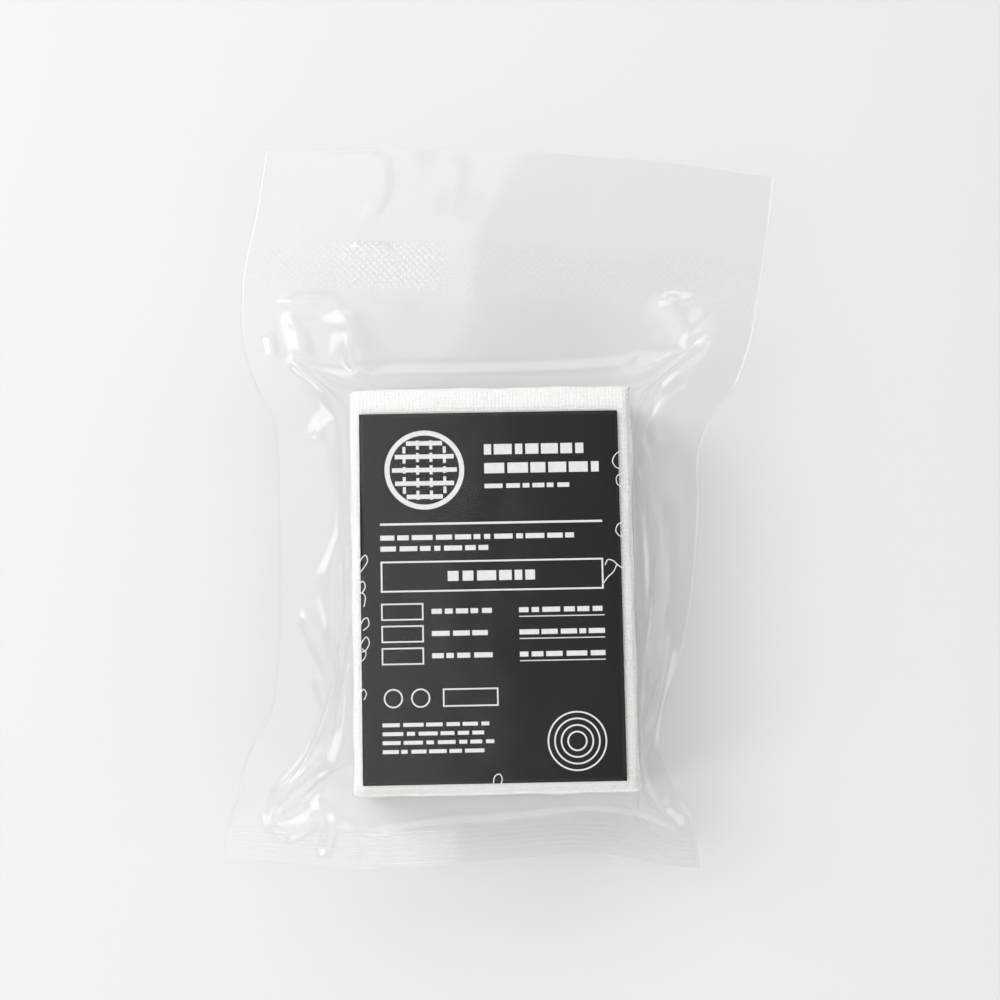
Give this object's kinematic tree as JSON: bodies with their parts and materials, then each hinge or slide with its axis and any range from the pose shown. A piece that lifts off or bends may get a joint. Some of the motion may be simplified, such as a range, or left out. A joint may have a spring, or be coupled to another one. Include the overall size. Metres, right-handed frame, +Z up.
{
  "type": "vacuum packed compressed gauze",
  "caption": "Folded gauze pressed into a flat brick, with a label card, sealed in a clear vacuum pouch with welded margins and an open skirt above the top weld.",
  "frame": {"origin": "on the flat underside of the back film, under the middle of the gauze brick", "axes": "+Z up out of the labelled face, +Y along the pack towards the open skirt, +X across the pack"},
  "size_m": [0.1153, 0.1507, 0.0209],
  "materials": {
    "gauze": "white woven cotton gauze, pressed",
    "card": "black satin printed card",
    "front_film": "clear glossy film",
    "back_film": "clear glossy film"
  },
  "bodies": {
    "root": {"gauze_strip": "gauze", "label_card": "card", "front_film": "front_film", "back_film": "back_film"}
  },
  "joints": []
}
